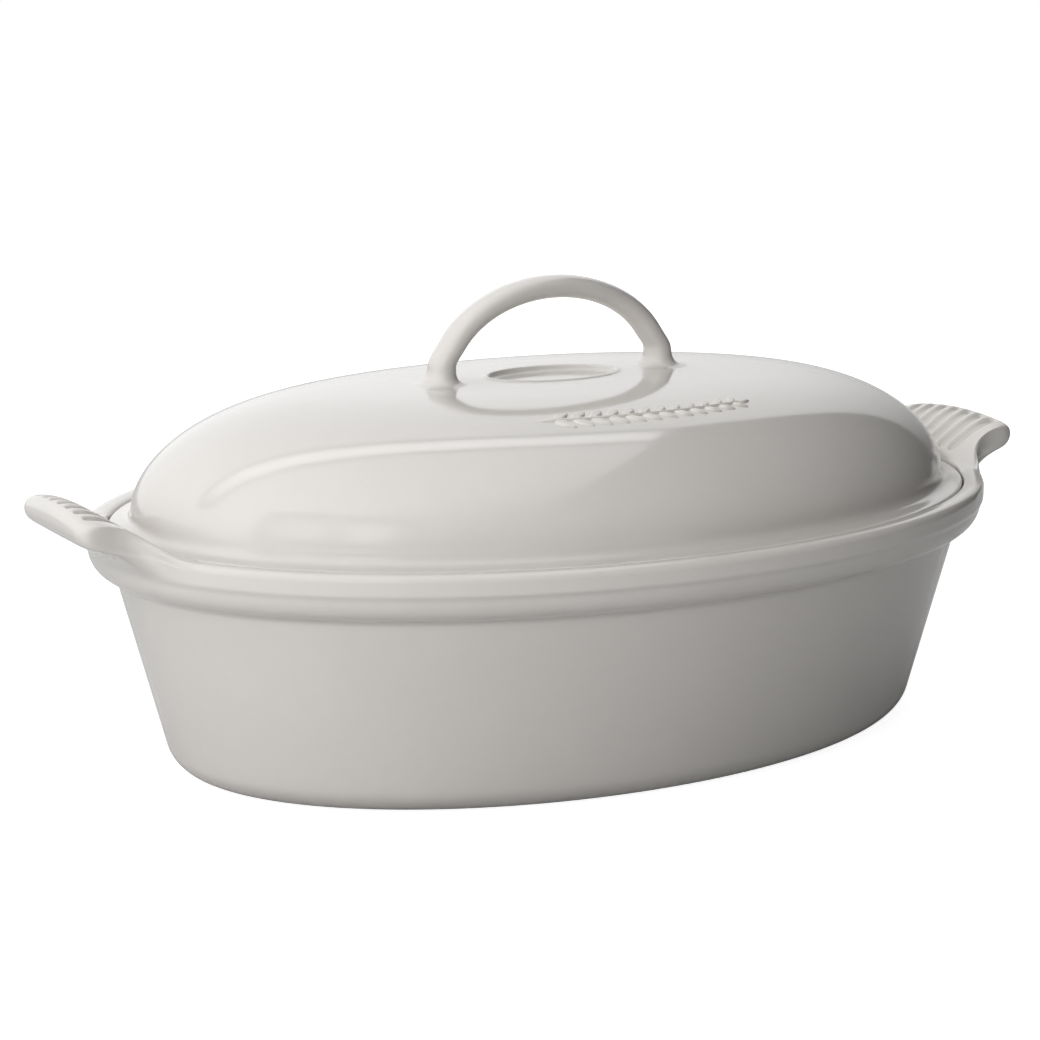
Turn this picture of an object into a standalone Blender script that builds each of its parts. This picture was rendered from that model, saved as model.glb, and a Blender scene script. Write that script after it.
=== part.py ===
"""Covered oval casserole dish: a stoneware dish with two end handles, and a domed lid with a loop.

The dish stands on Z = 0 with its long axis along X. The lid rests on the ledge inside the dish's
rim and lifts straight up along Z. All driving sizes are in millimetres.
"""

import math

import bmesh
import bpy

MM = 0.001

# The rim's outer oval, which every other oval is set in from.
RIM_HALF_LENGTH = 186.5
RIM_HALF_WIDTH = 130.8
OVAL_STEPS = 72
GAP = 0.35

# Points along the rounded parts of a section.
FLARE_STEPS = 4
BEAD_STEPS = 4
CORNER_STEPS = 5
EDGE_STEPS = 3

# Dish: heights, and insets measured from the rim's outer oval.
RIM_TOP = 94.5
RIM_OUTER_FILLET = 4.2
RIM_INNER_FILLET = 3.6
BEAD_BOTTOM = 86.6
BEAD_OVERHANG = 1.0
BEAD_FOOT = 1.4
FLARE_RADIUS = 9.8
FLARE_SWEEP = 88.0
FOOT_INSET = 30.8
CORNER_RADIUS = 13.0
FOOT_RING_WIDTH = 10.0
FOOT_RECESS = 1.6
LEDGE_HEIGHT = 88.0
LEDGE_OUTER_INSET = 8.4
LEDGE_INNER_INSET = 18.6
LEDGE_CHAMFER = (1.0, 1.5)
WALL = 8.0
FLOOR_HEIGHT = 9.0
FLOOR_FILLET = 16.0

# End handles: a tongue that rises outward from the rim at each end of the dish.
HANDLE_COLUMNS = 4
HANDLE_REACH = 205.2
HANDLE_HALF_WIDTH = 31.0
HANDLE_TIP_TOP = 107.8
HANDLE_CROWN = 1.4
HANDLE_TIP_THICKNESS = 8.4
HANDLE_FLANK_REACH = 2.5
HANDLE_FLANK_SHARE = 0.67
HANDLE_ROOT = slice(2, 8)
# Its section, as (share of the way out, height): the top's heights are shares of the rise from the
# rim, the nose's are half thicknesses over its middle, and the underside's is a share of the climb
# from the rim's foot to the nose.
HANDLE_TOPSIDE = ((0.35, 0.72), (0.75, 0.98))
HANDLE_NOSE = ((0.97, 0.6), (1.0, 0.0), (0.97, -0.7), (0.78, -1.0))
HANDLE_UNDERSIDE = (0.3, 0.74)

# Lid: a brim that sits on the ledge, a steep side, and a low dome.
BRIM_OUTER_INSET = 9.8
BRIM_EDGE_TOP = 93.0
BRIM_EDGE_FILLET = 1.8
BRIM_CHAMFER = 0.8
# How far out from the side's base the brim's rounded root runs, and its heights.
BRIM_ROOT = ((0.9, 96.3), (3.0, 94.3))
SIDE_BASE_INSET = 17.4
SIDE_BASE_HEIGHT = 99.3
LID_TOP = 141.0
DOME_POWER = 3.71
DOME_ROOT = 1.69
LID_WALL = 6.4
LID_MOUTH_INSET = 24.0
LID_MOUTH_HEIGHT = 96.0
LID_MOUTH_CHAMFER = 1.0
DOME_STEPS = 14
DOME_INNERMOST = 0.3
RECESS_HALF_LENGTH = 28.5
RECESS_HALF_WIDTH = 17.5
RECESS_DEPTH = 2.2
RECESS_SLOPE = 2.4

# Loop handle: an arch along X over the middle of the lid.
LOOP_HALF_SPAN = 48.0
LOOP_RISE = 33.9
LOOP_HALF_THICKNESS = 4.4
LOOP_WIDTH_RATIO = 1.45
LOOP_ROUNDNESS = 4
LOOP_FLARE = 0.6
LOOP_FLARE_HEIGHT = 9.0
LOOP_STEPS = 24
LOOP_FOOT = 1.0

CREAM_GLAZE = (0.66, 0.63, 0.60, 1.0)
GLAZE_ROUGHNESS = 0.12
SHARP_ABOVE_DEGREES = 40.0
WELD_DISTANCE = 0.00001


def clear_scene():
    for item in list(bpy.data.objects):
        bpy.data.objects.remove(item, do_unlink=True)


def glaze(name):
    material = bpy.data.materials.new(name)
    material.use_nodes = True
    shader = material.node_tree.nodes["Principled BSDF"]
    shader.inputs["Base Color"].default_value = CREAM_GLAZE
    shader.inputs["Roughness"].default_value = GLAZE_ROUGHNESS
    shader.inputs["Metallic"].default_value = 0.0
    return material


def oval(half_length, half_width, height):
    """One ring of points, anticlockwise from +X."""
    turn = 2 * math.pi / OVAL_STEPS
    return [
        (half_length * math.cos(turn * i), half_width * math.sin(turn * i), height)
        for i in range(OVAL_STEPS)
    ]


def inset_oval(inset, height):
    return oval(RIM_HALF_LENGTH - inset, RIM_HALF_WIDTH - inset, height)


def arc(centre, radius, start_degrees, end_degrees, steps):
    """Points of a profile's arc. Zero degrees points inward, and 90 degrees points up."""
    points = []
    for i in range(steps + 1):
        angle = math.radians(start_degrees + (end_degrees - start_degrees) * i / steps)
        points.append(
            (centre[0] + radius * math.cos(angle), centre[1] + radius * math.sin(angle))
        )
    return points


def add_object(name, body, collection):
    mesh = bpy.data.meshes.new(name)
    bmesh.ops.recalc_face_normals(body, faces=body.faces)
    body.to_mesh(mesh)
    body.free()
    mesh.materials.append(glaze(name))
    mesh.shade_smooth()
    mesh.set_sharp_from_angle(angle=math.radians(SHARP_ABOVE_DEGREES))
    item = bpy.data.objects.new(name, mesh)
    collection.objects.link(item)
    return item


def loft(name, rings, collection):
    """A closed solid through unlike rings of equal count, with a flat cap on the first and last."""
    body = bmesh.new()
    loops = [[body.verts.new([c * MM for c in p]) for p in ring] for ring in rings]
    count = len(rings[0])
    for low, high in zip(loops, loops[1:]):
        for i in range(count):
            j = (i + 1) % count
            body.faces.new((low[i], low[j], high[j], high[i]))
    body.faces.new(loops[0])
    body.faces.new(loops[-1])
    return add_object(name, body, collection)


def flare_profile():
    """(inset, height) pairs of the bulge under the bead, from the wall up to the bead's foot."""
    centre = (BEAD_OVERHANG + FLARE_RADIUS, BEAD_BOTTOM)
    return arc(centre, FLARE_RADIUS, 180 + FLARE_SWEEP, 180, FLARE_STEPS)


def bead_profile():
    """(inset, height) pairs up the outside of the rim's bead and over to its top."""
    centre = (RIM_OUTER_FILLET, RIM_TOP - RIM_OUTER_FILLET)
    fillet = arc(centre, RIM_OUTER_FILLET, 180, 90, BEAD_STEPS)
    return [(0.0, BEAD_BOTTOM + BEAD_FOOT)] + fillet


def dish_profile():
    """(inset, height) pairs from under the floor, up the outside, over the rim and down inside."""
    crease_inset, crease_height = flare_profile()[0]
    lean = math.degrees(math.atan2(crease_height, FOOT_INSET - crease_inset))
    corner_inset = FOOT_INSET + CORNER_RADIUS * math.tan(math.radians(lean / 2))
    ring_inner = corner_inset + FOOT_RING_WIDTH
    inside_foot = FOOT_INSET + WALL
    inside_corner = inside_foot + FLOOR_FILLET * math.tan(math.radians(lean / 2))
    inner_top = (LEDGE_OUTER_INSET - RIM_INNER_FILLET, RIM_TOP - RIM_INNER_FILLET)
    floor_corner = (inside_corner, FLOOR_HEIGHT + FLOOR_FILLET)
    across, down = LEDGE_CHAMFER
    profile = [(ring_inner + FOOT_RECESS, FOOT_RECESS), (ring_inner, 0.0)]
    profile += arc((corner_inset, CORNER_RADIUS), CORNER_RADIUS, 270, 270 - lean, CORNER_STEPS)
    profile += flare_profile() + bead_profile()
    profile += arc(inner_top, RIM_INNER_FILLET, 90, 0, EDGE_STEPS)
    profile += [(LEDGE_OUTER_INSET, LEDGE_HEIGHT), (LEDGE_INNER_INSET - across, LEDGE_HEIGHT)]
    profile += [(LEDGE_INNER_INSET, LEDGE_HEIGHT - down)]
    profile += arc(floor_corner, FLOOR_FILLET, 270 - lean, 270, CORNER_STEPS)
    return profile


def build_dish(collection):
    rings = [inset_oval(inset, height) for inset, height in dish_profile()]
    return loft("dish_body", rings, collection)


def rim_outside():
    """(inset, height) pairs of the rim's outer face, bottom to top, moved out by the gap."""
    outside = flare_profile() + bead_profile()
    return [(inset - GAP, height) for inset, height in outside[HANDLE_ROOT]]


def handle_section(column):
    """One closed section of the end handle, in a plane that runs outward from the rim."""
    turn = 2 * math.pi * column / OVAL_STEPS
    share = column / (HANDLE_COLUMNS - 1)
    root = []
    for inset, height in rim_outside():
        x = (RIM_HALF_LENGTH - inset) * math.cos(turn)
        y = (RIM_HALF_WIDTH - inset) * math.sin(turn)
        root.append((x, y, height))
    foot, crest = root[0], root[-1]
    if abs(column) == HANDLE_COLUMNS:
        tip = (crest[0] + HANDLE_FLANK_REACH, crest[1])
        tip_top = crest[2]
        half = (crest[2] - foot[2]) * HANDLE_FLANK_SHARE / 2
    else:
        tip = (HANDLE_REACH, HANDLE_HALF_WIDTH * share)
        tip_top = HANDLE_TIP_TOP + HANDLE_CROWN * (1 - share**2)
        half = HANDLE_TIP_THICKNESS / 2
    middle = tip_top - half

    def between(along, height):
        x = crest[0] + (tip[0] - crest[0]) * along
        y = crest[1] + (tip[1] - crest[1]) * along
        return (x, y, height)

    outline = [between(out, crest[2] + (tip_top - crest[2]) * up) for out, up in HANDLE_TOPSIDE]
    outline += [between(out, middle + half * up) for out, up in HANDLE_NOSE]
    out, up = HANDLE_UNDERSIDE
    outline.append(between(out, foot[2] + (middle - half - foot[2]) * up))
    return root + outline


def build_end_handle(name, side, collection):
    """The loft across the handle, from one flank to the other. side is 1 at +X and -1 at -X."""
    columns = range(-HANDLE_COLUMNS, HANDLE_COLUMNS + 1)
    sections = [[(side * x, y, z) for x, y, z in handle_section(c)] for c in columns]
    return loft(name, sections, collection)


def dome_ring(share, base_inset, base_height, top_height):
    """A ring of the dome: share 1 is its base, and 0 its middle."""
    length = RIM_HALF_LENGTH - base_inset
    width = RIM_HALF_WIDTH - base_inset
    set_in = length - (1 - share) * width
    rise = (1 - share**DOME_POWER) ** (1 / DOME_ROOT)
    height = base_height + (top_height - base_height) * rise
    return oval((set_in + length * share) / 2, width * share, height)


def dome(base_inset, base_height, top_height):
    """The dome's rings, closer together towards the shoulder."""
    rings = []
    for i in range(DOME_STEPS + 1):
        outward = math.sin(math.pi / 2 * i / DOME_STEPS)
        share = DOME_INNERMOST + (1 - DOME_INNERMOST) * outward
        rings.append(dome_ring(share, base_inset, base_height, top_height))
    return rings


def build_lid(collection):
    inner_top = LID_TOP - LID_WALL
    bottom = LEDGE_HEIGHT + GAP
    edge = (BRIM_OUTER_INSET + BRIM_EDGE_FILLET, BRIM_EDGE_TOP - BRIM_EDGE_FILLET)
    brim = [(SIDE_BASE_INSET - out, height) for out, height in BRIM_ROOT]
    brim += arc(edge, BRIM_EDGE_FILLET, 90, 180, EDGE_STEPS)
    brim += [
        (BRIM_OUTER_INSET, bottom + BRIM_CHAMFER),
        (BRIM_OUTER_INSET + BRIM_CHAMFER, bottom),
        (LID_MOUTH_INSET - LID_MOUTH_CHAMFER, bottom),
        (LID_MOUTH_INSET, bottom + LID_MOUTH_CHAMFER),
    ]
    slope_length = RECESS_HALF_LENGTH - RECESS_SLOPE
    slope_width = RECESS_HALF_WIDTH - RECESS_SLOPE
    rings = [oval(slope_length, slope_width, LID_TOP - RECESS_DEPTH)]
    rings += [oval(RECESS_HALF_LENGTH, RECESS_HALF_WIDTH, LID_TOP)]
    rings += dome(SIDE_BASE_INSET, SIDE_BASE_HEIGHT, LID_TOP)
    rings += [inset_oval(inset, height) for inset, height in brim]
    rings += reversed(dome(LID_MOUTH_INSET, LID_MOUTH_HEIGHT, inner_top))
    return loft("lid_shell", rings, collection)


def loop_swell(height):
    """How much wider the loop is near its feet than along its arch."""
    if height > LOOP_FLARE_HEIGHT:
        return 1.0
    return 1.0 + LOOP_FLARE * (1 - height / LOOP_FLARE_HEIGHT) ** 2


def loop_route():
    """(x, height) pairs along the arch. Each end starts straight up, so that its foot is level."""
    route = [(LOOP_HALF_SPAN, 0.0)]
    for i in range(LOOP_STEPS + 1):
        angle = math.pi * i / LOOP_STEPS
        height = LOOP_FOOT + (LOOP_RISE - LOOP_FOOT) * math.sin(angle)
        route.append((LOOP_HALF_SPAN * math.cos(angle), height))
    return route + [(-LOOP_HALF_SPAN, 0.0)]


def build_loop_handle(collection):
    """A bevelled curve, made a mesh so that its caps can be welded."""
    path = bpy.data.curves.new("loop_path", "CURVE")
    path.dimensions = "3D"
    path.bevel_depth = LOOP_HALF_THICKNESS * MM
    path.bevel_resolution = LOOP_ROUNDNESS
    path.use_fill_caps = True
    path.twist_mode = "Z_UP"
    spline = path.splines.new("POLY")
    route = loop_route()
    spline.points.add(len(route) - 1)
    for point, (x, height) in zip(spline.points, route):
        point.co = (x * MM, 0.0, height * MM, 1.0)
        point.radius = loop_swell(height)
    guide = bpy.data.objects.new("loop_guide", path)
    collection.objects.link(guide)
    bpy.context.view_layer.update()
    graph = bpy.context.evaluated_depsgraph_get()
    swept = bpy.data.meshes.new_from_object(guide.evaluated_get(graph))
    body = bmesh.new()
    body.from_mesh(swept)
    bmesh.ops.remove_doubles(body, verts=body.verts, dist=WELD_DISTANCE)
    bmesh.ops.scale(body, vec=(1.0, LOOP_WIDTH_RATIO, 1.0), verts=body.verts)
    bmesh.ops.translate(body, vec=(0.0, 0.0, (LID_TOP + GAP) * MM), verts=body.verts)
    bpy.data.objects.remove(guide)
    bpy.data.meshes.remove(swept)
    return add_object("loop_handle", body, collection)


def move_origin(item, place):
    """Puts the object's origin at place, without moving its shape."""
    for vertex in item.data.vertices:
        vertex.co -= place
    item.location = place


def main():
    clear_scene()
    parts = bpy.data.collections.new("covered_casserole")
    bpy.context.scene.collection.children.link(parts)
    build_dish(parts)
    build_end_handle("end_handle_right", 1, parts)
    build_end_handle("end_handle_left", -1, parts)
    lid_axis = bpy.data.objects.new("lid_lift_axis", None)
    lid_axis.location = (0.0, 0.0, LEDGE_HEIGHT * MM)
    parts.objects.link(lid_axis)
    for piece in (build_lid(parts), build_loop_handle(parts)):
        move_origin(piece, lid_axis.location)
        piece.parent = lid_axis
        piece.location = (0.0, 0.0, 0.0)


main()
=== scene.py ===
"""Looks of the covered oval casserole dish: a glazed stoneware dish, and a domed lid with a loop.

Two skins stand for the five CAD nodes. Sizes are in millimetres until a mesh is made.
"""

import math

import bpy
import numpy as np
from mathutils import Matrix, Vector


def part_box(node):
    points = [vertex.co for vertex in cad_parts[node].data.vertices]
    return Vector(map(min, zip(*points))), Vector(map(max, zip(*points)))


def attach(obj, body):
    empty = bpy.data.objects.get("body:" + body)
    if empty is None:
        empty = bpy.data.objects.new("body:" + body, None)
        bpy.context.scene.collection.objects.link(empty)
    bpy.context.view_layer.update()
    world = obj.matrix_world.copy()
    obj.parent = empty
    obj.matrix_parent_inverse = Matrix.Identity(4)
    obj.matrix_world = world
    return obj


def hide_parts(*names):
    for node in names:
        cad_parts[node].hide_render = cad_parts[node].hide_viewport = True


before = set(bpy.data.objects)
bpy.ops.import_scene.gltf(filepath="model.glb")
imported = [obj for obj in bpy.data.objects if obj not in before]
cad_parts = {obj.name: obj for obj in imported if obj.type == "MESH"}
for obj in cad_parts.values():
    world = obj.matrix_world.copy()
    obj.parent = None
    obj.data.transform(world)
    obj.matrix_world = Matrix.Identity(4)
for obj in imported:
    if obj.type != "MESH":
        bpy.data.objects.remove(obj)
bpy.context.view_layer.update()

MM = 0.001

# Driving sizes, read from the CAD nodes.
DISH_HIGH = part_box("dish_body")[1] / MM
HANDLE_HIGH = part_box("end_handle_right")[1] / MM
LID_LOW, LID_HIGH = (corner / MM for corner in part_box("lid_shell"))
LOOP_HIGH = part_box("loop_handle")[1] / MM

HALF_LENGTH = DISH_HIGH.x
HALF_WIDTH = DISH_HIGH.y
RIM_TOP = DISH_HIGH.z
LID_TOP = LID_HIGH.z

# Dish: insets are measured inward from the rim's outer oval.
SEAT_GAP = 0.35
CHANNEL_WALL = 8.4
LEDGE_HEIGHT = LID_LOW.z - SEAT_GAP
LEDGE_INNER = 18.6
CREASE_INSET = 10.5
CREASE_HEIGHT = 76.8
FOOT_INSET = 30.8
CORNER_RADIUS = 13.0
FOOT_RING_WIDTH = 10.0
FOOT_RECESS = 1.6
WALL = 8.0
FLOOR_HEIGHT = 9.0
FLOOR_FILLET = 16.0
# The rows of faces on the foot ring, which carry no glaze.
BARE_ROWS = range(2, 5)

# Lid.
BASE_INSET = 17.4
BASE_HEIGHT = 99.3
BASE_LENGTH = HALF_LENGTH - BASE_INSET
BASE_WIDTH = HALF_WIDTH - BASE_INSET
DOME_POWER = 3.71
DOME_ROOT = 1.69
LID_WALL = 6.4
MOUTH_INSET = 24.0
MOUTH_HEIGHT = 96.0
DOME_INNERMOST = 0.3
DOME_SAMPLES = 1500
RECESS = (27.2, 17.0)
RECESS_DEPTH = 1.6


# ---------------------------------------------------------------- curves


def spline_weights(controls, samples):
    """Rows of weights that turn control points into samples of one clamped cubic B-spline."""
    knots = np.concatenate([[0.0] * 3, np.linspace(0, 1, controls - 2), [1.0] * 3])
    at = np.linspace(0, 1, samples)
    at[-1] = 1 - 1e-9
    weights = (knots[None, :-1] <= at[:, None]) & (at[:, None] < knots[None, 1:])
    weights = weights.astype(float)
    for degree in (1, 2, 3):
        count = weights.shape[1] - 1
        low, high = knots[:count], knots[degree : degree + count]
        span = np.where(high > low, high - low, 1)
        rising = np.where(high > low, (at[:, None] - low) / span, 0)
        low, high = knots[1 : count + 1], knots[degree + 1 : degree + 1 + count]
        span = np.where(high > low, high - low, 1)
        falling = np.where(high > low, (high - at[:, None]) / span, 0)
        weights = weights[:, :-1] * rising + weights[:, 1:] * falling
    return weights


def spline(points, samples):
    points = np.array(points, float)
    return spline_weights(len(points), samples) @ points


def even(points, samples):
    """The same line with its points evenly spaced along it."""
    steps = np.linalg.norm(np.diff(points[:, :2], axis=0), axis=1)
    along = np.concatenate([[0], np.cumsum(steps)])
    wanted = np.linspace(0, along[-1], samples)
    return np.stack([np.interp(wanted, along, column) for column in points.T], axis=1)


def arc(centre, radius, start, end, steps):
    """(inset, height) points. Zero degrees points inward, and 90 degrees points up."""
    angle = np.radians(np.linspace(start, end, steps + 1))
    return np.stack(
        [centre[0] + radius * np.cos(angle), centre[1] + radius * np.sin(angle)], axis=1
    )


def smooth_step(low, high, value):
    share = np.clip((value - low) / (high - low), 0, 1)
    return share * share * (3 - 2 * share)


# ---------------------------------------------------------------- meshes


def grid_faces(rows, columns, offset=0, cyclic=True):
    i = np.arange(rows - 1)[:, None]
    j = np.arange(columns if cyclic else columns - 1)[None, :]
    k = (j + 1) % columns
    quads = [i * columns + j, i * columns + k, (i + 1) * columns + k, (i + 1) * columns + j]
    return np.stack([q + 0 * i for q in quads], axis=-1).reshape(-1, 4) + offset


class Skin:
    """Vertices, faces and the glaze thickness of one mesh, gathered from several grids."""

    def __init__(self):
        self.points, self.faces, self.tone, self.bare = [], [], [], []
        self.count = 0

    def add(self, grid, tone=None, cyclic=True, caps=False, bare_rows=()):
        rows, columns = grid.shape[:2]
        self.points.append(grid.reshape(-1, 3))
        self.tone.append(np.zeros(rows * columns) if tone is None else tone.reshape(-1))
        faces = grid_faces(rows, columns, self.count, cyclic)
        width = columns if cyclic else columns - 1
        bare = np.zeros(len(faces), bool)
        for row in bare_rows:
            bare[row * width : (row + 1) * width] = True
        self.faces += faces.tolist()
        self.bare += bare.tolist()
        if caps:
            first = list(range(self.count, self.count + columns))
            last = [self.count + (rows - 1) * columns + i for i in range(columns)]
            self.faces += [first[::-1], last]
            self.bare += [False, False]
        self.count += rows * columns

    def build(self, name, materials):
        mesh = bpy.data.meshes.new(name)
        mesh.from_pydata((np.concatenate(self.points) * MM).tolist(), [], self.faces)
        mesh.attributes.new("glaze_tone", "FLOAT", "POINT").data.foreach_set(
            "value", np.concatenate(self.tone).astype(np.float32)
        )
        for material in materials:
            mesh.materials.append(material)
        if len(materials) > 1:
            mesh.polygons.foreach_set("material_index", np.array(self.bare, np.int32))
        mesh.shade_smooth()
        mesh.update()
        item = bpy.data.objects.new(name, mesh)
        bpy.context.scene.collection.objects.link(item)
        return item


# ---------------------------------------------------------------- the dish's plan

FAN_TIP = HANDLE_HIGH.x
FAN_SIDE = 31.0

# Half of one end handle's edge, from its middle to the rim: X, Y, and the Y of the matching point
# on the channel's wall.
FAN_EDGE = [
    (FAN_TIP, 0.0, 0.0),
    (FAN_TIP, 8.0, 7.0),
    (FAN_TIP, 16.0, 14.0),
    (FAN_TIP + 0.1, 23.0, 20.5),
    (FAN_TIP, FAN_SIDE - 4.2, 25.0),
    (FAN_TIP - 1.8, FAN_SIDE, 28.0),
    (FAN_TIP - 6.0, FAN_SIDE + 0.6, 30.5),
    (FAN_TIP - 10.4, FAN_SIDE + 0.3, 32.5),
    (FAN_TIP - 14.6, FAN_SIDE + 0.4, 34.5),
    (FAN_TIP - 18.6, FAN_SIDE + 1.2, 36.5),
    (FAN_TIP - 22.0, FAN_SIDE + 3.2, 38.5),
    (FAN_TIP - 24.8, FAN_SIDE + 6.2, 40.5),
    (FAN_TIP - 27.2, FAN_SIDE + 10.0, 42.5),
    (FAN_TIP - 29.5, FAN_SIDE + 14.0, 44.6),
]
FAN_ROOT_Y = 56.0
FAN_JOINS_RIM_Y = (49.5, 52.5, FAN_ROOT_Y)
FAN_SAMPLES = 1200
FAN_COLUMNS = 230
SIDE_COLUMNS = 170


def rim_point(y):
    """X of the rim's outer oval at this Y."""
    return HALF_LENGTH * math.sqrt(1 - (y / HALF_WIDTH) ** 2)


def fan_columns():
    """(x, y, y on the channel wall), from one root of the right-hand handle to the other."""
    inner = (HALF_WIDTH - CHANNEL_WALL) / HALF_WIDTH
    half = FAN_EDGE + [(rim_point(y), y, y * inner) for y in FAN_JOINS_RIM_Y]
    near = [(x, -y, -inside) for x, y, inside in half[:0:-1]]
    return even(spline(near + half, FAN_SAMPLES), FAN_COLUMNS)


def dish_columns():
    """Round the whole dish: the rim's edge (x, y), and the oval's angle."""
    fan = fan_columns()
    start = math.asin(FAN_ROOT_Y / HALF_WIDTH)
    angle = np.linspace(start, math.pi - start, SIDE_COLUMNS)[1:-1]
    side = np.stack([HALF_LENGTH * np.cos(angle), HALF_WIDTH * np.sin(angle), angle], axis=1)
    fan[:, 2] = np.arcsin(fan[:, 2] / (HALF_WIDTH - CHANNEL_WALL))
    right_half = np.concatenate([fan, side])
    left_half = right_half * [-1, -1, 1] + [0, 0, math.pi]
    return np.concatenate([right_half, left_half])


def ovals(profile, angle):
    """A grid of points: each (inset, height) pair swept round the oval angles."""
    inset, height = profile[:, 0][:, None], profile[:, 1][:, None]
    x = (HALF_LENGTH - inset) * np.cos(angle)
    y = (HALF_WIDTH - inset) * np.sin(angle)
    return np.stack([x, y, height + 0 * angle], axis=-1)


# The rim's section as control points, from the crease up the outside and over to the channel.
# The bulge under the bead runs right round: (inset, height).
BULGE = [
    (CREASE_INSET, CREASE_HEIGHT),
    (9.0, 76.8),
    (6.5, 77.3),
    (4.2, 78.8),
    (2.3, 81.0),
    (1.25, 83.8),
    (0.95, 86.0),
]
# The bead's side becomes a handle's underside: (share of the way from rim to edge, height on the
# plain rim, height on a handle, how much higher it is in the handle's middle).
UNDERSIDE = [
    (0.0, 87.4, 87.8, 0.2),
    (0.14, 88.8, 91.0, 0.4),
    (0.36, 90.2, 94.8, 0.2),
    (0.60, 91.3, 97.2, 0.0),
    (0.84, 92.0, 98.8, 0.0),
]
# The bead's outer fillet becomes a handle's nose: (share of the way in on the rim, the same on a
# handle, height on the rim, height on a handle, how much higher it is in the handle's middle).
NOSE = [
    (0.0, 0.04, 92.7, 100.2, 0.2),
    (0.05, -0.01, 93.7, 102.8, 0.8),
    (0.15, 0.0, 94.5, 105.8, 1.4),
]
# The rest of the top: (share of the way in on the rim, the same on a handle, height on the rim,
# how far the handle's top is below its own line, how much higher it is in the handle's middle).
TOPSIDE = [
    (0.30, 0.06, 94.9, 1.0, 2.2),
    (0.45, 0.17, 95.0, 0.2, 2.8),
    (0.59, 0.30, 94.9, 0.0, 2.6),
    (0.72, 0.46, 94.8, 0.0, 1.7),
    (0.84, 0.61, 94.5, 0.0, 0.5),
    (0.93, 0.79, 94.0, 0.0, 0.0),
    (0.985, 0.93, 93.1, 0.1, 0.0),
    (1.0, 0.99, 91.4, 1.2, 0.0),
]
# How far a handle's top stands over the plain rim, by X.
RISE_LINE = [
    (160, 0.0),
    (168, 0.0),
    (172, 0.5),
    (176, 2.2),
    (180, 5.2),
    (185, 8.8),
    (190, 11.4),
    (195, 12.9),
    (200, 13.6),
    (206, 13.9),
]
RIM_ROWS = 150
# How far a handle's top line starts over the rim's top, and the share of the rise where a
# column's section stops being a plain rim's.
HANDLE_BASE = 0.4
PLAIN_SHARE = 0.3
# The rows of the rim that lie on its top, where the grooves are cut.
TOPSIDE_ROWS = (0.58, 0.62)

GROOVES = 7
GROOVE_PITCH = 7.7
GROOVE_SPREAD = 0.05
GROOVE_HALF_WIDTH = 2.7
GROOVE_DEPTH = 1.5
# The grooves' ends, set in from the handle's tip. Each end draws back by the square of its Y.
GROOVE_START, GROOVE_END = 24.0, 5.9
GROOVE_DRAW_BACK = 0.0014
# A groove's side runs from this much inside its half width to this much outside it.
GROOVE_SIDE = (1.5, 0.3)


def handle_rise(x):
    line = spline(RISE_LINE, 200)
    return np.interp(np.abs(x), line[:, 0], line[:, 1])


def rim_grid(columns):
    """The rim from the crease to the ledge, with the end handles drawn out of it."""
    edge, angle = columns[:, :2], columns[:, 2]
    rim, wall = ovals(np.array([[0.0, 0.0], [CHANNEL_WALL, 0.0]]), angle)[:, :, :2]
    share = handle_rise(edge[:, 0]) / handle_rise(FAN_TIP)
    share = share * (np.abs(edge[:, 1]) < FAN_ROOT_Y)
    blend = smooth_step(0.0, PLAIN_SHARE, share)
    crown = share * np.clip(1 - (edge[:, 1] / FAN_SIDE) ** 2, 0, 1)
    controls = list(ovals(np.array(BULGE), angle))

    def add(place, height):
        controls.append(np.concatenate([place, height[:, None]], axis=1))

    for out, plain, lifted, middle in UNDERSIDE:
        add(rim + (edge - rim) * out, plain + (lifted - plain) * share + middle * crown)
    for rim_in, fan_in, plain, lifted, middle in NOSE:
        along = (rim_in + (fan_in - rim_in) * blend)[:, None]
        add(edge + (wall - edge) * along, plain + (lifted - plain) * share + middle * crown)
    for rim_in, fan_in, plain, below, middle in TOPSIDE:
        along = (rim_in + (fan_in - rim_in) * blend)[:, None]
        place = edge + (wall - edge) * along
        line = plain + (RIM_TOP + HANDLE_BASE - below - plain) * blend
        add(place, line + handle_rise(place[:, 0]) + middle * crown)
    ledge = [(CHANNEL_WALL, LEDGE_HEIGHT + 1.2), (CHANNEL_WALL + 0.1, LEDGE_HEIGHT)]
    ledge.append((CHANNEL_WALL + 1.0, LEDGE_HEIGHT))
    controls += list(ovals(np.array(ledge), angle))
    weights = spline_weights(len(controls), RIM_ROWS)
    return np.einsum("rc,cjk->rjk", weights, np.stack(controls))


def groove_depth(x, y):
    """0 to 1: how deep in a groove this point of an end handle's top is."""
    depth = np.zeros_like(x)
    for k in range(GROOVES):
        middle = (k - (GROOVES - 1) / 2) * GROOVE_PITCH
        limit = FAN_TIP - GROOVE_DRAW_BACK * middle * middle
        a = np.array([limit - GROOVE_START, middle * (1 - GROOVE_SPREAD)])
        b = np.array([limit - GROOVE_END, middle])
        run = b - a
        along = np.clip(((x - a[0]) * run[0] + (y - a[1]) * run[1]) / (run @ run), 0, 1)
        away = np.hypot(x - a[0] - along * run[0], y - a[1] - along * run[1])
        low, high = GROOVE_HALF_WIDTH - GROOVE_SIDE[0], GROOVE_HALF_WIDTH + GROOVE_SIDE[1]
        depth = np.maximum(depth, 1 - smooth_step(low, high, away))
    return depth


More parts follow.
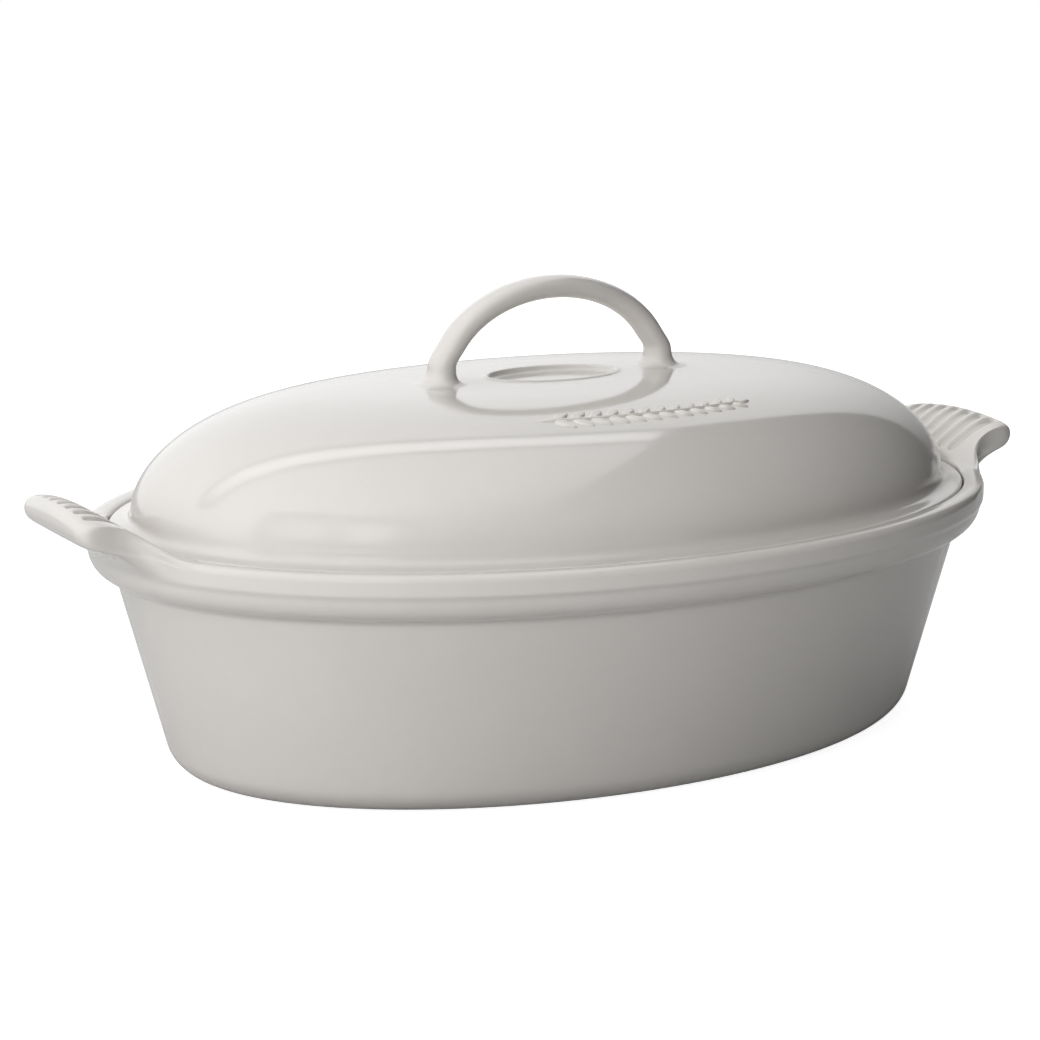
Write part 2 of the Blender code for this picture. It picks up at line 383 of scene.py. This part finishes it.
def cut_grooves(grid, columns):
    """Presses the grooves into the top of both end handles, and returns how deep each point went."""
    rows = np.arange(len(grid))[:, None] / (len(grid) - 1)
    topside = smooth_step(*TOPSIDE_ROWS, rows) * (np.abs(columns[:, 1]) < FAN_SIDE)
    depth = groove_depth(np.abs(grid[..., 0]), grid[..., 1]) * topside
    grid[..., 2] -= depth * GROOVE_DEPTH
    return depth


def below_rim(lean):
    """(inset, height) pairs from the middle of the underside, over the foot ring, to the crease."""
    corner = FOOT_INSET + CORNER_RADIUS * math.tan(math.radians(lean / 2))
    ring_inner = corner + FOOT_RING_WIDTH
    underside = [
        (HALF_WIDTH - 3.0, FOOT_RECESS + 0.4),
        (HALF_WIDTH - 40.0, FOOT_RECESS + 0.2),
        (ring_inner + FOOT_RECESS, FOOT_RECESS),
        (ring_inner + 0.5, 0.25),
        (ring_inner, 0.0),
        (corner, 0.0),
    ]
    outside = arc((corner, CORNER_RADIUS), CORNER_RADIUS, 270, 270 - lean, 20)
    wall = np.linspace(outside[-1], (CREASE_INSET, CREASE_HEIGHT), 26)[1:-1]
    return np.concatenate([underside, outside[1:], wall])


def inside_dish(lean):
    """(inset, height) pairs from the ledge, down inside, to the middle of the floor."""
    corner = FOOT_INSET + WALL + FLOOR_FILLET * math.tan(math.radians(lean / 2))
    fillet = arc((corner, FLOOR_HEIGHT + FLOOR_FILLET), FLOOR_FILLET, 270 - lean, 270, 16)
    ledge = [
        (LEDGE_INNER - 5.0, LEDGE_HEIGHT),
        (LEDGE_INNER - 1.6, LEDGE_HEIGHT),
        (LEDGE_INNER - 0.7, LEDGE_HEIGHT - 0.3),
        (LEDGE_INNER, LEDGE_HEIGHT - 1.4),
    ]
    inside = np.linspace((LEDGE_INNER + 0.5, LEDGE_HEIGHT - 3.5), fillet[0], 16)[:-1]
    floor = np.linspace(fillet[-1], (HALF_WIDTH - 3.0, FLOOR_HEIGHT), 10)[1:]
    return np.concatenate([ledge, inside, fillet, floor])


def build_dish(glaze, bare):
    columns = dish_columns()
    angle = columns[:, 2]
    lean = math.degrees(math.atan2(CREASE_HEIGHT, FOOT_INSET - CREASE_INSET))
    below = below_rim(lean)
    rim = rim_grid(columns)
    depth = cut_grooves(rim, columns)
    grid = np.concatenate([ovals(below, angle), rim, ovals(inside_dish(lean), angle)])
    tone = np.zeros(grid.shape[:2])
    tone[len(below) : len(below) + len(rim)] = depth
    skin = Skin()
    skin.add(grid, tone, caps=True, bare_rows=BARE_ROWS)
    return skin.build("dish_skin", [glaze, bare])


# ---------------------------------------------------------------- the lid

LID_COLUMNS = 420


def dome_oval(share):
    """Half length and half width of the dome at a share of its base: 1 at the base, 0 at its middle."""
    set_in = BASE_LENGTH - (1 - share) * BASE_WIDTH
    return (set_in + BASE_LENGTH * share) / 2, BASE_WIDTH * share


def dome_rise(share):
    return np.clip(1 - share**DOME_POWER, 0, 1) ** (1 / DOME_ROOT)


def dome_height(x, y):
    """Height of the dome's outside over any point well inside its base."""
    low, high = np.full(np.shape(x), 1e-4), np.ones(np.shape(x))
    for _ in range(30):
        share = (low + high) / 2
        length, width = dome_oval(share)
        outside = (x / length) ** 2 + (y / width) ** 2 > 1
        low, high = np.where(outside, share, low), np.where(outside, high, share)
    return BASE_HEIGHT + (LID_TOP - BASE_HEIGHT) * dome_rise(high)


def dome_profile(samples, top, base_height):
    """(half length, half width, height), from the base up, evenly spaced along the curve."""
    share = 1 - (1 - DOME_INNERMOST) * np.linspace(0, 1, DOME_SAMPLES) ** 3
    length, width = dome_oval(share)
    height = base_height + (top - base_height) * dome_rise(share)
    line = even(np.stack([width, height, length], axis=1), samples)
    return line[:, [2, 0, 1]]


def sweep_ovals(rows, angle):
    """A grid from (half length, half width, height) rows."""
    length, width, height = (rows[:, k][:, None] for k in range(3))
    return np.stack(
        [length * np.cos(angle), width * np.sin(angle), height + 0 * angle], axis=-1
    )


def inset_rows(profile):
    profile = np.array(profile, float)
    return np.stack(
        [HALF_LENGTH - profile[:, 0], HALF_WIDTH - profile[:, 0], profile[:, 1]], axis=1
    )


def recess_rows():
    """The dip between the loop's feet, with its raised round border, from the plateau inward."""
    section = spline(
        [
            (9.0, 0.0),
            (6.0, 0.0),
            (3.4, 0.0),
            (2.0, 0.05),
            (1.2, 0.5),
            (0.4, 0.75),
            (-0.4, 0.6),
            (-0.9, -0.1),
            (-1.3, -0.9),
            (-2.2, -1.5),
            (-3.4, -RECESS_DEPTH),
            (-5.0, -RECESS_DEPTH),
            (-8.0, -RECESS_DEPTH),
        ],
        46,
    )
    rows = [(RECESS[0] + away, RECESS[1] + away, LID_TOP + rise) for away, rise in section]
    rows += [(14.0, 5.0, LID_TOP - RECESS_DEPTH), (11.5, 1.0, LID_TOP - RECESS_DEPTH)]
    return np.array(rows)


def lid_grid():
    angle = 2 * math.pi * np.arange(LID_COLUMNS) / LID_COLUMNS
    bottom = LID_LOW.z
    outer = dome_profile(110, LID_TOP, BASE_HEIGHT)
    brim = spline(
        [
            (24.0, 96.6),
            (24.0, 92.0),
            (23.6, bottom),
            (20.0, bottom),
            (14.0, bottom),
            (9.4, bottom),
            (8.7, bottom + 0.5),
            (8.7, 91.0),
            (8.7, 93.5),
            (9.4, 94.15),
            (11.4, 94.35),
            (14.2, 94.65),
            (16.4, 95.6),
            (17.3, 97.3),
            (17.4, BASE_HEIGHT),
        ],
        64,
    )
    inner = dome_profile(50, LID_TOP - LID_WALL, MOUTH_HEIGHT)
    mouth_length, mouth_width = HALF_LENGTH - MOUTH_INSET, HALF_WIDTH - MOUTH_INSET
    ceiling = inner[::-1] * [mouth_length / BASE_LENGTH, mouth_width / BASE_WIDTH, 1]
    middle = np.linspace((8.0, 2.0, LID_TOP - LID_WALL), ceiling[0], 8)[:-1]
    plateau = np.linspace(outer[-1], recess_rows()[0], 16)[1:-1]
    rows = [middle, ceiling, inset_rows(brim)[1:], outer[1:], plateau, recess_rows()]
    return sweep_ovals(np.concatenate(rows), angle)


# The loop, in its own plane. The span is half the distance between its legs' middles.
LOOP_SPAN = 48.0
LOOP_THICKNESS = 8.8
LOOP_HALF_WIDTH = 6.3
LOOP_ROWS = 150
LOOP_COLUMNS = 40
LOOP_DEGREES = (90, 78, 66, 55, 45, 36, 28, 21)
# Below 1, the section is fuller than an ellipse.
LOOP_FULLNESS = 0.86
# Between these heights the loop goes over from the dome's surface to its own plane.
LOOP_SETTLE = (4.0, 16.0)
# Each row: the outer edge's (x, height), the inner edge's, and the half width.
FOOT = [
    ((52.7, 9.0), (43.2, 8.0), 6.3),
    ((52.9, 5.6), (43.4, 5.4), 6.4),
    ((53.3, 3.4), (43.3, 3.2), 6.8),
    ((54.4, 1.7), (42.6, 1.6), 7.6),
    ((56.2, 0.6), (41.4, 0.6), 8.9),
    ((58.2, 0.15), (40.0, 0.15), 10.3),
    ((59.8, -0.1), (39.0, -0.1), 11.4),
    ((60.4, -0.5), (38.6, -0.5), 11.8),
]


def loop_controls():
    """Control rows along one half of the loop, from its top to its foot."""
    rise = LOOP_HIGH.z - LID_TOP
    half = LOOP_THICKNESS / 2
    rows = []
    for degrees in LOOP_DEGREES:
        angle = math.radians(degrees)
        outer = ((LOOP_SPAN + half) * math.cos(angle), rise * math.sin(angle))
        inner = ((LOOP_SPAN - half) * math.cos(angle), (rise - LOOP_THICKNESS) * math.sin(angle))
        rows.append((*outer, *inner, LOOP_HALF_WIDTH))
    rows += [(*outer, *inner, width) for outer, inner, width in FOOT]
    return np.array(rows)


def build_loop(skin):
    half = loop_controls()
    other = half[:0:-1] * [-1, 1, -1, 1, 1]
    edge = spline(np.concatenate([other, half]), LOOP_ROWS)
    outer, inner, width = edge[:, :2], edge[:, 2:4], edge[:, 4]
    turn = 2 * math.pi * np.arange(LOOP_COLUMNS) / LOOP_COLUMNS
    across = np.sign(np.cos(turn)) * np.abs(np.cos(turn)) ** LOOP_FULLNESS
    sideways = np.sign(np.sin(turn)) * np.abs(np.sin(turn)) ** LOOP_FULLNESS
    middle, reach = (outer + inner) / 2, (outer - inner) / 2
    x = middle[:, :1] + reach[:, :1] * across
    up = middle[:, 1:] + reach[:, 1:] * across
    y = width[:, None] * sideways + 0 * x
    ground = dome_height(x, y)
    blend = 1 - smooth_step(*LOOP_SETTLE, up)
    z = up + LID_TOP + (ground - LID_TOP) * blend
    skin.add(np.stack([x, y, z], axis=-1), caps=True)


# ---------------------------------------------------------------- the sprig in relief

SPRIG_SHARE = 0.635
SPRIG_START, SPRIG_END = -45.0, 41.0
SPRIG_LEAVES = 12
LEAF_LENGTH = 9.5
LEAF_HALF_WIDTH = 2.3
LEAF_TURN = 0.72
STEM_HALF_WIDTH = 0.8
RELIEF = 0.9
# How far a relief's border lies under the glaze, so that no gap shows.
SUNK = 0.2


def sprig_point(x):
    """(y, dy/dx) of the line that the sprig's stem follows."""
    length, width = dome_oval(SPRIG_SHARE)
    y = -width * np.sqrt(1 - (x / length) ** 2)
    return y, -(width**2) * x / (length**2 * y)


def relief_patch(skin, x, y, height):
    """A patch that stands proud of the dome by height, with its border just under the glaze."""
    z = dome_height(x, y) + height
    skin.add(np.stack([x, y, z], axis=-1), tone=-0.5 * np.clip(height, 0, 1), cyclic=False)


def leaf(skin, base, heading, size):
    """One leaf from its base along a heading, with a vein pressed in along its middle."""
    u = np.linspace(0, 1, 15)[:, None]
    v = np.linspace(-1, 1, 13)[None, :]
    outline = LEAF_HALF_WIDTH * size * np.sin(math.pi * u**0.8) ** 0.75
    vein = 0.22 * np.exp(-((v / 0.18) ** 2)) * np.sin(math.pi * u)
    crown = np.sqrt(np.clip(1 - v * v, 0, 1)) * np.sin(math.pi * u) ** 0.4
    height = (RELIEF + SUNK) * crown - SUNK - vein
    along = u * LEAF_LENGTH * size + 0 * v
    side = -v * outline
    x = base[0] + along * math.cos(heading) - side * math.sin(heading)
    y = base[1] + along * math.sin(heading) + side * math.cos(heading)
    relief_patch(skin, x, y, height)


def build_sprig(skin):
    x = np.linspace(SPRIG_START, SPRIG_END, 90)[:, None]
    y, slope = sprig_point(x)
    v = np.linspace(-1, 1, 9)[None, :]
    taper = smooth_step(0, 6, x - SPRIG_START) * 0.6 + 0.4
    side = -v * STEM_HALF_WIDTH * taper
    norm = np.sqrt(1 + slope**2)
    height = (RELIEF + 0.1) * np.sqrt(np.clip(1 - v * v, 0, 1)) * taper - SUNK
    relief_patch(skin, x - side * slope / norm, y + side / norm + 0 * v, height)
    first = SPRIG_START + 3
    for k in range(SPRIG_LEAVES):
        share = (k + 0.5) / SPRIG_LEAVES
        at = first + (SPRIG_END - first) * share
        y_at, slope_at = sprig_point(at)
        for turn in (LEAF_TURN, -LEAF_TURN):
            leaf(skin, (at, y_at), math.atan(slope_at) + turn, 1.0 - 0.3 * share)
    y_end, slope_end = sprig_point(SPRIG_END)
    leaf(skin, (SPRIG_END - 1, y_end), math.atan(slope_end), 0.8)


def build_lid(glaze):
    skin = Skin()
    skin.add(lid_grid(), caps=True)
    build_loop(skin)
    build_sprig(skin)
    return skin.build("lid_skin", [glaze])


# ---------------------------------------------------------------- materials

GLAZE = (0.70, 0.675, 0.645, 1)
THIN_GLAZE = (0.74, 0.70, 0.65, 1)
THICK_GLAZE = (0.56, 0.535, 0.50, 1)
IRON_SPECK = (0.42, 0.34, 0.27, 1)


def darker(colour, share):
    return [channel * share for channel in colour[:3]] + [1]


class Nodes:
    """Short calls for building one material's node tree."""

    def __init__(self, name):
        self.material = bpy.data.materials.new(name)
        self.material.use_nodes = True
        self.tree = self.material.node_tree
        self.shader = self.tree.nodes["Principled BSDF"]
        coordinates = self.tree.nodes.new("ShaderNodeTexCoord")
        self.place = coordinates.outputs["Object"]
        self.generated = coordinates.outputs["Generated"]

    def node(self, kind, inputs=None, **settings):
        made = self.tree.nodes.new(kind)
        for name, value in settings.items():
            setattr(made, name, value)
        for name, value in (inputs or {}).items():
            if isinstance(value, bpy.types.NodeSocket):
                self.tree.links.new(value, made.inputs[name])
            else:
                made.inputs[name].default_value = value
        return made

    def noise(self, scale, detail=3.0, roughness=0.5):
        inputs = {"Vector": self.place, "Scale": scale, "Detail": detail, "Roughness": roughness}
        return self.node("ShaderNodeTexNoise", inputs).outputs["Fac"]

    def span(self, value, low, high, start, end):
        """value from low to high, made start to end."""
        inputs = {"Value": value, "From Min": low, "From Max": high, "To Min": start, "To Max": end}
        return self.node("ShaderNodeMapRange", inputs).outputs["Result"]

    def math(self, operation, a, b):
        made = self.node("ShaderNodeMath", {0: a, 1: b}, operation=operation)
        return made.outputs["Value"]

    def mix(self, factor, a, b):
        """A colour between a and b. The mix node's colour sockets are its sixth and seventh."""
        made = self.node("ShaderNodeMix", {0: factor, 6: a, 7: b}, data_type="RGBA")
        return made.outputs[2]

    def bump(self, height, strength, distance, normal=None):
        inputs = {"Height": height, "Strength": strength, "Distance": distance}
        if normal is not None:
            inputs["Normal"] = normal
        return self.node("ShaderNodeBump", inputs).outputs["Normal"]

    def link(self, value, socket):
        self.tree.links.new(value, self.shader.inputs[socket])


def glaze_material(name):
    """Glossy off-white glaze: clouded tone, fine iron specks, and the slight waves of a fired coat."""
    n = Nodes(name)
    cloud = n.noise(14.0, 4.0, 0.55)
    fine = n.noise(160.0, 3.0, 0.6)
    tone = n.mix(n.span(cloud, 0.35, 0.65, 0.0, 1.0), GLAZE, darker(GLAZE, 0.975))
    tone = n.mix(n.span(fine, 0.4, 0.7, 0.0, 0.3), tone, darker(GLAZE, 0.96))
    coat = n.node("ShaderNodeAttribute", attribute_name="glaze_tone").outputs["Fac"]
    tone = n.mix(n.span(coat, 0.0, 1.0, 0.0, 0.8), tone, THICK_GLAZE)
    tone = n.mix(n.span(coat, 0.0, -1.0, 0.0, 0.8), tone, THIN_GLAZE)
    specks = n.node(
        "ShaderNodeTexVoronoi", {"Vector": n.place, "Scale": 420.0, "Randomness": 1.0}
    ).outputs["Distance"]
    sparse = n.span(n.noise(95.0, 2.0), 0.58, 0.66, 0.0, 1.0)
    dots = n.math("MULTIPLY", n.span(specks, 0.1, 0.04, 0.0, 0.32), sparse)
    tone = n.mix(dots, tone, IRON_SPECK)
    n.link(tone, "Base Color")
    n.link(n.span(n.noise(45.0, 4.0, 0.6), 0.3, 0.7, 0.09, 0.15), "Roughness")
    waves = n.bump(n.noise(22.0, 2.0, 0.4), 0.22, 0.0012)
    peel = n.bump(n.noise(420.0, 2.0, 0.5), 0.06, 0.0002, waves)
    n.link(peel, "Normal")
    n.shader.inputs["IOR"].default_value = 1.52
    n.shader.inputs["Coat Weight"].default_value = 0.35
    n.shader.inputs["Coat Roughness"].default_value = 0.05
    n.shader.inputs["Coat IOR"].default_value = 1.5
    return n.material


def bare_clay_material():
    """Unglazed stoneware on the foot ring: matt, sandy and warmer than the glaze."""
    n = Nodes("bare_stoneware")
    grain = n.noise(900.0, 4.0, 0.7)
    patch = n.noise(60.0, 3.0)
    tone = n.mix(n.span(grain, 0.3, 0.7, 0, 1), (0.52, 0.44, 0.35, 1), (0.38, 0.31, 0.24, 1))
    tone = n.mix(n.span(patch, 0.4, 0.7, 0, 0.4), tone, (0.3, 0.25, 0.2, 1))
    n.link(tone, "Base Color")
    n.link(n.span(grain, 0.3, 0.7, 0.7, 0.9), "Roughness")
    n.link(n.bump(grain, 0.6, 0.0003), "Normal")
    return n.material


# ---------------------------------------------------------------- studio

CAMERA_PLACE = Vector((-0.5191, -0.8937, 0.3057))
CAMERA_AIM = Vector((-0.0097, 0.0079, 0.0826))
CAMERA_LENS = 93.46
SENSOR_WIDTH = 36.0

# Panels that face the dish: name, place, (width, height) and glow. The key lights the glaze without
# showing in it, the sheens only show in it, and the flag is a dark panel on the right.
KEY = ("key", (-1.4, -1.35, 0.9), (2.2, 1.8), 6.5)
SHEENS = [
    ("sheen_left", (-1.5, -0.9, 1.0), (1.5, 1.5), 0.9),
    ("sheen_window", (-1.22, -1.25, 0.95), (0.7, 1.4), 1.3),
    ("sheen_overhead", (0.1, 0.6, 1.3), (3.8, 0.34), 2.4),
]
FLAG = ("flag", (0.52, -0.24, 0.33), (1.2, 1.2), 0.0)
PANEL_TARGET = (0.0, 0.0, 0.08)
# A panel fades over this range of shares of its width or height from its middle.
PANEL_FADE = (0.5, 0.12)

# The room's light: the direction of its bright side, the range of the angle's cosine over which it
# goes from dark to bright, and its glow on either side.
BRIGHT_SIDE = (-0.35, 0.62, 0.70)
BRIGHT_FROM_TO = (-0.1, 0.6)
ROOM_GLOW = (0.04, 1.18)

FLOOR_HALF_SIDE = 4.0


def aim(item, place, target):
    item.location = place
    item.rotation_euler = (Vector(target) - Vector(place)).to_track_quat("-Z", "Y").to_euler()


def rectangle(name, size, height, material):
    """A flat sheet in the world's XY plane, centred on the origin."""
    x, y = size[0] / 2, size[1] / 2
    mesh = bpy.data.meshes.new(name)
    corners = [(-x, -y, height), (x, -y, height), (x, y, height), (-x, y, height)]
    mesh.from_pydata(corners, [], [(0, 1, 2, 3)])
    mesh.materials.append(material)
    sheet = bpy.data.objects.new(name, mesh)
    bpy.context.scene.collection.objects.link(sheet)
    return sheet


def softbox(name, place, size, glow):
    """A lit panel whose light fades towards its borders, so that its reflection has no hard edge."""
    n = Nodes(name)
    centred = n.node(
        "ShaderNodeVectorMath", {0: n.generated, 1: (0.5, 0.5, 0.5)}, operation="SUBTRACT"
    )
    parts = n.node("ShaderNodeSeparateXYZ", {"Vector": centred.outputs["Vector"]}).outputs
    far, near = PANEL_FADE
    strength = glow
    for axis in ("X", "Y"):
        away = n.math("ABSOLUTE", parts[axis], 0.0)
        inputs = {"Value": away, "From Min": far, "From Max": near}
        fade = n.node("ShaderNodeMapRange", inputs, interpolation_type="SMOOTHSTEP")
        strength = n.math("MULTIPLY", fade.outputs["Result"], strength)
    light = n.node("ShaderNodeEmission", {"Strength": strength})
    n.tree.links.new(light.outputs["Emission"], n.tree.nodes["Material Output"].inputs["Surface"])
    panel = rectangle(name, size, 0.0, n.material)
    aim(panel, place, PANEL_TARGET)
    panel.visible_camera = False
    return panel


def floor_plane(name, tone, glow, height):
    n = Nodes(name)
    cloud = n.span(n.noise(3.0), 0.3, 0.7, 0.0, 1.0)
    light, dark = [tone] * 3 + [1], [tone * 0.98] * 3 + [1]
    n.link(n.mix(cloud, light, dark), "Base Color")
    n.shader.inputs["Roughness"].default_value = 0.9
    n.shader.inputs["Emission Color"].default_value = (1, 1, 1, 1)
    n.shader.inputs["Emission Strength"].default_value = glow
    return rectangle(name, (2 * FLOOR_HALF_SIDE, 2 * FLOOR_HALF_SIDE), height, n.material)


def build_world():
    """White to the eye; as light, brighter above and behind, and darker in front."""
    world = bpy.data.worlds.new("studio")
    bpy.context.scene.world = world
    world.use_nodes = True
    nodes, links = world.node_tree.nodes, world.node_tree.links
    towards = nodes.new("ShaderNodeVectorMath")
    towards.operation = "DOT_PRODUCT"
    towards.inputs[1].default_value = BRIGHT_SIDE
    links.new(nodes.new("ShaderNodeTexCoord").outputs["Generated"], towards.inputs[0])
    ramp = nodes.new("ShaderNodeMapRange")
    ramp.interpolation_type = "SMOOTHSTEP"
    links.new(towards.outputs["Value"], ramp.inputs["Value"])
    sockets = ("From Min", "From Max", "To Min", "To Max")
    for socket, value in zip(sockets, BRIGHT_FROM_TO + ROOM_GLOW):
        ramp.inputs[socket].default_value = value
    pick = nodes.new("ShaderNodeMix")
    pick.data_type = "FLOAT"
    links.new(nodes.new("ShaderNodeLightPath").outputs["Is Camera Ray"], pick.inputs[0])
    links.new(ramp.outputs["Result"], pick.inputs[2])
    pick.inputs[3].default_value = 1.0
    links.new(pick.outputs[0], nodes["Background"].inputs["Strength"])
    nodes["Background"].inputs["Color"].default_value = (1, 1, 1, 1)


def build_studio():
    scene = bpy.context.scene
    scene.view_settings.view_transform = "Standard"
    camera = bpy.data.objects.new("camera", bpy.data.cameras.new("camera"))
    scene.collection.objects.link(camera)
    camera.data.lens = CAMERA_LENS
    camera.data.sensor_width = SENSOR_WIDTH
    aim(camera, CAMERA_PLACE, CAMERA_AIM)
    scene.camera = camera
    softbox(*KEY).visible_glossy = False
    for sheen in SHEENS:
        softbox(*sheen).visible_diffuse = False
    softbox(*FLAG).visible_shadow = False
    build_world()
    # The floor that is seen is white and lights nothing. The one that lights is not seen.
    shown = floor_plane("floor", 0.4, 0.92, -0.0002)
    shown.visible_diffuse = shown.visible_glossy = shown.visible_shadow = False
    bounce = floor_plane("floor_bounce", 0.65, 0.0, -0.0004)
    bounce.visible_camera = False


def main():
    build_studio()
    dish = build_dish(glaze_material("dish_glaze"), bare_clay_material())
    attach(dish, "dish")
    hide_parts("dish_body", "end_handle_left", "end_handle_right")
    lid = build_lid(glaze_material("lid_glaze"))
    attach(lid, "lid")
    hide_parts("lid_shell", "loop_handle")


main()
